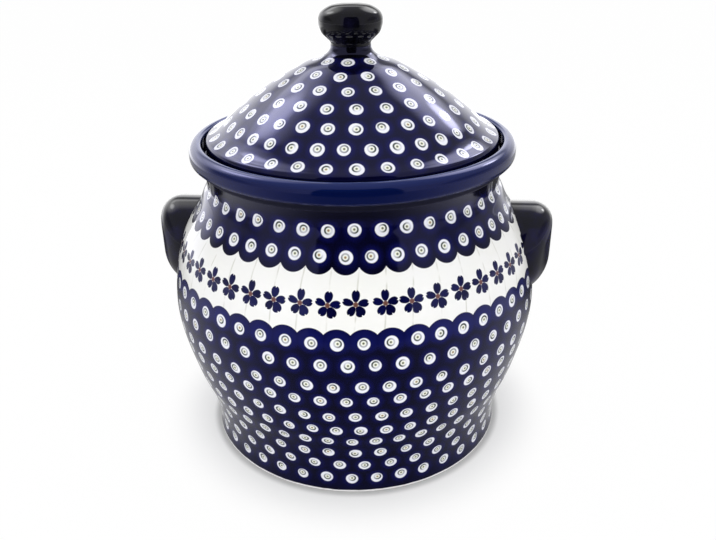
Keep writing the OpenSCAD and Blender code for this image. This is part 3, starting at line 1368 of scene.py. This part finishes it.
@dataclass
class Lug:
    """Cupped lug that beds on the jar's shoulder, hollow behind and open below.

    The fields that end in steps count the points of the parts of one section.
    """

    side: Side
    jar: Jar
    reach: float = 137.4
    arch_r: float = 35.0
    arch_z: float = 132.9
    bow_r: float = 41.5
    taper_r: float = 27.0
    wall: float = 6.0
    edge_round: float = 12.0
    hollow_round: float = 8.0
    rim_z: float = 124.9
    rim_least: float = 1.2
    finger_r: float = 24.0
    spread: float = 54.5
    sunk: float = 2.5
    columns: int = 121
    crown_steps: int = 6
    edge_steps: int = 10
    face_steps: int = 16
    rim_steps: int = 9
    inner_steps: int = 12
    turn_steps: int = 8
    back_steps: int = 5
    blend_power: int = 6

    def bow(self, y: np.ndarray, z: np.ndarray) -> np.ndarray:
        """Outer face: X of an upright bow whose radius is drawn in below the arch's centre.

        Args:
            y: Y of the points.
            z: Z of the points.

        Returns:
            X = reach - bow + root(radius^2 - y^2), where the radius shrinks by a quarter round.
        """
        drop = np.clip(self.arch_z - z, 0.0, self.taper_r)
        radius = self.bow_r - self.taper_r + np.sqrt(self.taper_r**2 - drop**2)
        return self.reach - self.bow_r + np.sqrt(np.maximum(radius**2 - y**2, 0.0))

    def hollow(self, y: np.ndarray) -> np.ndarray:
        """Inner face: X of an upright round, one wall inside the bow."""
        return self.reach - self.bow_r + np.sqrt((self.bow_r - self.wall) ** 2 - y**2)

    def bed(self, y: np.ndarray, z: np.ndarray) -> np.ndarray:
        """X of the jar's own surface, root(r^2 - y^2), sunk a little so that the lug is bedded.

        Args:
            y: Y of the points.
            z: Z of the points, at which the jar's outline gives the radius r.

        Returns:
            X of the bed.
        """
        curve = self.jar.outer_curve()
        radius = np.interp(z, curve[:, 1], curve[:, 0])
        return np.sqrt(radius**2 - y**2) - self.sunk

    def section(self, angle: np.ndarray) -> np.ndarray:
        """Points of the lug, as sections on half planes about the finger arch's axis.

        At each angle from upright, a section runs out over the crown, round the edge, down the
        face to the rim, and back up the hollow to the jar. Its reach in the plane is the arch's
        half circle, or its straight leg below the arch's centre.

        Args:
            angle: Angles from upright, in radians.

        Returns:
            Points by angle and by place in the section.
        """
        centre_z = self.rim_z - self.finger_r
        sine, cosine = np.sin(angle)[:, None], np.cos(angle)[:, None]
        offset = self.arch_z - centre_z
        round_top = offset * cosine + np.sqrt(self.arch_r**2 - (offset * sine) ** 2)
        leg = self.arch_r / np.maximum(np.abs(sine), 1e-6)
        top = np.where(centre_z + round_top * cosine >= self.arch_z, round_top, leg)

        def spot(far: np.ndarray) -> tuple[np.ndarray, np.ndarray]:
            """Y and Z at distances from the finger arch's axis."""
            return far * sine, centre_z + far * cosine

        quarter = np.linspace(0.0, math.pi / 2.0, self.edge_steps)[None]
        far_edge = top - self.edge_round * (1.0 - np.cos(quarter))
        x_edge = self.bow(*spot(far_edge)) - self.edge_round * (1.0 - np.sin(quarter))
        out = np.linspace(0.0, 1.0, self.crown_steps, endpoint=False)[None]
        far_crown = np.repeat(top, self.crown_steps, axis=1)
        x_crown = self.bed(*spot(top)) * (1.0 - out) + x_edge[:, :1] * out

        rim = np.full_like(top, self.finger_r)
        x_out = self.bow(*spot(rim))
        x_in = np.minimum(self.hollow(spot(rim)[0]), x_out - self.rim_least)
        half = (x_out - x_in) / 2.0
        share = np.linspace(0.0, 1.0, self.face_steps)[None, 1:]
        far_face = far_edge[:, -1:] + (rim + half - far_edge[:, -1:]) * share
        x_face = self.bow(*spot(far_face))
        x_face = x_face + (x_out - x_face[:, -1:]) * share**self.blend_power
        turn = np.linspace(0.0, math.pi, self.rim_steps)[None, 1:]
        far_rim = rim + half * (1.0 - np.sin(turn))
        x_rim = (x_out + x_in) / 2.0 + half * np.cos(turn)

        ceiling = top - self.wall
        back = np.linspace(math.pi / 2.0, 0.0, self.turn_steps)[None]
        far_turn = ceiling - self.hollow_round * (1.0 - np.cos(back))
        x_turn = self.hollow(spot(far_turn)[0]) - self.hollow_round * (1.0 - np.sin(back))
        rise = np.linspace(0.0, 1.0, self.inner_steps, endpoint=False)[None, 1:]
        far_inner = rim + half + (far_turn[:, :1] - rim - half) * rise
        lag = x_in - self.hollow(spot(rim + half)[0])
        x_inner = self.hollow(spot(far_inner)[0]) + lag * (1.0 - rise) ** self.blend_power
        home = np.linspace(0.0, 1.0, self.back_steps)[None, 1:]
        far_back = np.repeat(ceiling, home.size, axis=1)
        x_back = x_turn[:, -1:] + (self.bed(*spot(ceiling)) - x_turn[:, -1:]) * home

        fars = [far_crown, far_edge, far_face, far_rim, far_inner, far_turn, far_back]
        x = np.concatenate([x_crown, x_edge, x_face, x_rim, x_inner, x_turn, x_back], axis=1)
        y, z = spot(np.concatenate(fars, axis=1))
        return np.stack([np.maximum(x, self.bed(y, z)), y, z], axis=-1)

    def build(self, finish: bpy.types.Material) -> bpy.types.Object:
        """Make the lug in its plain glaze, its two tips closed and its faces turned outward.

        Args:
            finish: The glaze that both lugs share.

        Returns:
            The piece.
        """
        angle = np.radians(np.linspace(-self.spread, self.spread, self.columns))
        grid = self.section(angle)
        rows, columns = grid.shape[:2]
        points = grid.reshape(-1, 3) * np.array([self.side.value, 1.0, 1.0])
        faces = quads(rows, columns, 0)
        first, last = list(range(columns))[::-1], list(range((rows - 1) * columns, rows * columns))
        tri = np.concatenate([faces[:, [0, 1, 2]], faces[:, [0, 2, 3]]])
        a, b, c = (points[tri[:, k]] for k in range(3))
        outward = np.einsum("ij,ij->i", a - points.mean(0), np.cross(b - a, c - a)).sum() > 0
        every = faces.tolist() + [first, last]
        name = f"glazed_{self.side.name.lower()}_lug"
        piece = put_mesh(name, points, every if outward else [f[::-1] for f in every], finish)
        return settle(piece, Body.JAR, Slot.PLAIN, f"{self.side.name.lower()}_handle")


def rays(graph: Graph) -> tuple[Value, Value]:
    """Tell which rays look at a thing of the studio.

    Args:
        graph: Graph of the thing's light.

    Returns:
        1 for camera, glossy and transmission rays, and 1 for glossy rays alone, else 0.
    """
    path = graph.node("ShaderNodeLightPath").outputs
    names = ("Is Camera Ray", "Is Glossy Ray", "Is Transmission Ray")
    camera, glossy, through = (Value(graph, path[name]) for name in names)
    return graph.math("MAXIMUM", graph.math("MAXIMUM", camera, glossy), through), glossy


def mirror_only(card: bpy.types.Object) -> None:
    """Show a card of the studio to reflections alone.

    Args:
        card: The card.
    """
    card.visible_camera = card.visible_diffuse = card.visible_shadow = False
    card.visible_transmission = card.visible_volume_scatter = False


@dataclass(frozen=True)
class FrontFlag:
    """Black card in front of the jar that only reflections see, standing upright."""

    azimuth: float = 8.0
    distance: float = 0.72
    size: tuple[float, float] = (0.76, 1.2)
    aim: Rgb = (0.0, 0.0, 0.6)

    def build(self) -> None:
        """Set the card up, facing its aim."""
        out = Vector(heading(self.azimuth, 0.0))
        turn = np.array(out.to_track_quat("Z", "Y").to_matrix())
        at = np.array(Vector(self.aim) + out * self.distance)
        corners = CORNERS * np.array([*self.size, 0.0]) / 2.0
        made, graph = new_finish("front_flag")
        graph.show(graph.node("ShaderNodeEmission", None, {"Strength": 0.0}))
        points = (corners @ turn.T + at) / MM
        mirror_only(put_mesh("front_flag", points, [[0, 1, 2, 3]], made))


@dataclass(frozen=True)
class Glow:
    """Soft round light in the white surroundings, by its place and its radii in degrees."""

    azimuth: float
    elevation: float
    inner: float
    outer: float
    strength: float

    def level(self, graph: Graph, way: bpy.types.NodeSocket) -> Value:
        """Light of the glow in a direction, by the cosine of the angle to its middle.

        Args:
            graph: Graph of the surroundings.
            way: The direction.

        Returns:
            The level that the glow adds.
        """
        near = graph.cosine(way, heading(self.azimuth, self.elevation))
        outer, inner = (math.cos(math.radians(angle)) for angle in (self.outer, self.inner))
        return graph.ease(near, outer, inner) * self.strength


@dataclass(frozen=True)
class BackSector:
    """Bright sector of the surroundings behind the jar, which only reflections see."""

    azimuth: float = -165.0
    span: Span = (0.38, 0.9)
    strength: float = 1.7

    def level(self, graph: Graph, way: bpy.types.NodeSocket) -> Value:
        """Share of the sector in a direction, by the cosine of the angle to its middle."""
        return graph.ease(graph.cosine(way, heading(self.azimuth, 0.0)), *self.span)


@dataclass(frozen=True)
class Floor:
    """Pale floor that keeps the shadow and glows to the eye, less so close to the foot."""

    size: float = 16.0
    white: Rgb = (0.97, 0.97, 0.97)
    glow: tuple[float, float] = (0.4, 0.98)
    clear: Span = (0.108, 0.152)
    # painted shadow: the glow's colour fades to black right at the foot, a contact shadow
    painted_contact_shadow: Span = (0.106, 0.1125)

    def build(self) -> None:
        """Lay the floor."""
        made, graph = new_finish("pale_floor")
        matt = graph.node("ShaderNodeBsdfDiffuse", None, {"Color": ink(self.white)})
        x, y, _ = graph.parts(graph.place())
        far = graph.far(x, y)
        # painted shadow: the glow is darkened close to the foot as a contact shadow
        tone = {"Color": graph.ease(far, *self.painted_contact_shadow), "Strength": 1.0}
        glow = graph.node("ShaderNodeEmission", None, tone)
        near, wide = self.glow
        share = rays(graph)[0] * (graph.ease(far, *self.clear) * (wide - near) + near)
        both = {0: share, 1: matt.outputs[0], 2: glow.outputs[0]}
        graph.show(graph.node("ShaderNodeMixShader", None, both))
        points = CORNERS * (self.size / 2.0 / MM)
        put_mesh("floor", points, [[0, 1, 2, 3]], made)


@dataclass(frozen=True)
class FloorFlag:
    """Dark sheet just above the floor that only reflections see, paler at its two sides."""

    size: float = 10.0
    lift: float = 0.0004
    dark: float = 0.08
    pale: float = 0.45
    front: float = 6.0
    pale_span: Span = (10.0, 95.0)
    # painted shade: the sheet is darkened close behind the jar, standing in for the jar's shadow
    # on the floor
    shade_y: Span = (0.06, 0.2)
    shade_far: Span = (0.68, 0.52)
    back_far: Span = (0.75, 1.1)
    back: BackSector = BackSector()

    def build(self) -> None:
        """Lay the sheet."""
        made, graph = new_finish("floor_flag")
        at = graph.place()
        x, y, _ = graph.parts(at)
        way = graph.node("ShaderNodeVectorMath", {"operation": "NORMALIZE"}, {0: at}).outputs[0]
        far = graph.far(x, y)
        around = abs(graph.math("ARCTAN2", x, -y) - math.radians(self.front))
        sides = graph.ease(around, *(math.radians(angle) for angle in self.pale_span))
        # painted shade: reflections see the floor close behind the jar as if in the jar's shadow
        shade = graph.ease(y, *self.shade_y) * graph.ease(far, *self.shade_far)
        level = sides * (1.0 - shade) * self.pale + self.dark
        behind = self.back.level(graph, way) * graph.ease(far, *self.back_far)
        level = level + behind * self.back.strength
        graph.show(graph.node("ShaderNodeEmission", None, {"Color": level, "Strength": 1.0}))
        points = (CORNERS * (self.size / 2.0) + np.array([0.0, 0.0, self.lift])) / MM
        mirror_only(put_mesh("floor_flag", points, [[0, 1, 2, 3]], made))


@dataclass(frozen=True)
class Sky:
    """White surroundings: plain white to the eye, even as a light, uneven in reflections.

    Reflections see a level that dips at the two sides, a bright sector behind with a band
    above it, and a few soft glows. Spans are parts of a direction of length 1.
    """

    fill: float = 0.68
    gloss: float = 0.8
    level: float = 0.45
    dip: float = 0.45
    dip_side: Span = (0.85, 0.93)
    dip_low: Span = (0.1, 0.25)
    dip_high: Span = (0.6, 0.45)
    back: BackSector = BackSector()
    back_high: Span = (0.42, 0.26)
    band: float = 1.6
    band_low: Span = (0.5, 0.56)
    band_high: Span = (0.68, 0.62)
    glows: tuple[Glow, ...] = (
        Glow(-130.0, 40.0, 8.0, 28.0, 1.9),
        Glow(149.0, 40.0, 5.0, 20.0, 3.4),
        Glow(-125.0, 45.0, 2.0, 11.0, 4.0),
        Glow(140.0, 33.0, 2.0, 6.0, 8.0),
    )

    def build(self) -> None:
        """Put the surroundings up."""
        world = bpy.data.worlds.new("white_tent")
        world.use_nodes = True
        bpy.context.scene.world = world
        graph = Graph(world.node_tree)
        way = graph.node("ShaderNodeTexCoord").outputs["Generated"]
        x, _, z = graph.parts(way)
        dip = graph.ease(abs(x), *self.dip_side)
        dip = dip * graph.ease(z, *self.dip_low) * graph.ease(z, *self.dip_high)
        band = graph.ease(z, *self.band_low) * graph.ease(z, *self.band_high) * self.band
        behind = graph.ease(z, *self.back_high) * self.back.strength + band
        level = (1.0 - dip * self.dip) * self.level + self.back.level(graph, way) * behind
        for glow in self.glows:
            level = level + glow.level(graph, way)
        seen, glossy = rays(graph)
        shown = level * glossy * self.gloss + (1.0 - glossy)
        tone = shown * seen + (1.0 - seen) * self.fill
        white = graph.node("ShaderNodeBackground", None, {"Color": tone, "Strength": 1.0})
        graph.node("ShaderNodeOutputWorld", None, {0: white.outputs[0]})


@dataclass(frozen=True)
class Lamp:
    """Soft square lamp that faces the jar and isn't mirrored in it."""

    name: str
    place: Rgb
    size: float
    power: float
    aim: Rgb = (0.0, 0.0, 0.12)

    def build(self) -> None:
        """Hang the lamp."""
        light = bpy.data.lights.new(self.name, "AREA")
        light.energy, light.size = self.power, self.size
        made = bpy.data.objects.new(self.name, light)
        made.location = Vector(self.place)
        ahead = Vector(self.aim) - Vector(self.place)
        made.rotation_euler = ahead.to_track_quat("-Z", "Y").to_euler()
        made.visible_glossy = False
        bpy.context.scene.collection.objects.link(made)


@dataclass(frozen=True)
class Camera:
    """The photograph's camera: place and aim in millimetres, focal length in its pixels."""

    image_width: int = 716
    focal_px: float = 752.4
    sensor: float = 36.0
    eye: Rgb = (47.31, -492.1, 353.27)
    target: Rgb = (2.5, 0.23, 113.5)
    roll: float = -0.806
    nearest: float = 0.01

    def build(self) -> None:
        """Set the camera up, rolled about its own axis."""
        data = bpy.data.cameras.new("camera")
        data.sensor_width = self.sensor
        data.lens = self.focal_px / self.image_width * self.sensor
        data.clip_start = self.nearest
        made = bpy.data.objects.new("camera", data)
        eye, target = Vector(self.eye) * MM, Vector(self.target) * MM
        ahead = (target - eye).normalized()
        right = ahead.cross(Vector((0, 0, 1))).normalized()
        up = right.cross(ahead)
        c, s = math.cos(math.radians(self.roll)), math.sin(math.radians(self.roll))
        turn = Matrix((right * c + up * s, up * c - right * s, -ahead)).transposed()
        made.matrix_world = Matrix.Translation(eye) @ turn.to_4x4()
        bpy.context.scene.collection.objects.link(made)
        bpy.context.scene.camera = made


@dataclass(frozen=True)
class Studio:
    """The photograph's camera, a pale floor, soft white surroundings, two dark flags, lamps."""

    camera: Camera = Camera()
    floor: Floor = Floor()
    floor_flag: FloorFlag = FloorFlag()
    sky: Sky = Sky()
    front_flag: FrontFlag = FrontFlag()
    lamps: tuple[Lamp, ...] = (
        Lamp("top_lamp", (0.0, -0.15, 1.25), 0.9, 3.2),
        Lamp("back_left_lamp", (-0.9, 0.6, 0.9), 0.6, 1.5),
        Lamp("back_right_lamp", (1.0, 0.6, 0.9), 0.6, 1.5),
        Lamp("front_left_lamp", (-0.85, -1.0, 0.45), 0.7, 4.2),
        Lamp("front_right_lamp", (0.95, -0.95, 0.45), 0.7, 4.2),
    )

    def build(self) -> None:
        """Set up the whole studio."""
        bpy.context.scene.view_settings.view_transform = "Standard"
        flags = (self.floor_flag, self.sky, self.front_flag)
        for thing in (self.camera, self.floor, *flags, *self.lamps):
            thing.build()


def main() -> None:
    """Build the pieces and the studio."""
    logging.basicConfig(level=logging.INFO, format="%(name)s: %(message)s")
    jar = Jar()
    jar.build()
    Lid().build()
    Knob().build()
    lug_glaze = LUG_GLAZE.material()
    for side in Side:
        Lug(side, jar).build(lug_glaze)
    Studio().build()


if __name__ == "__main__":
    main()
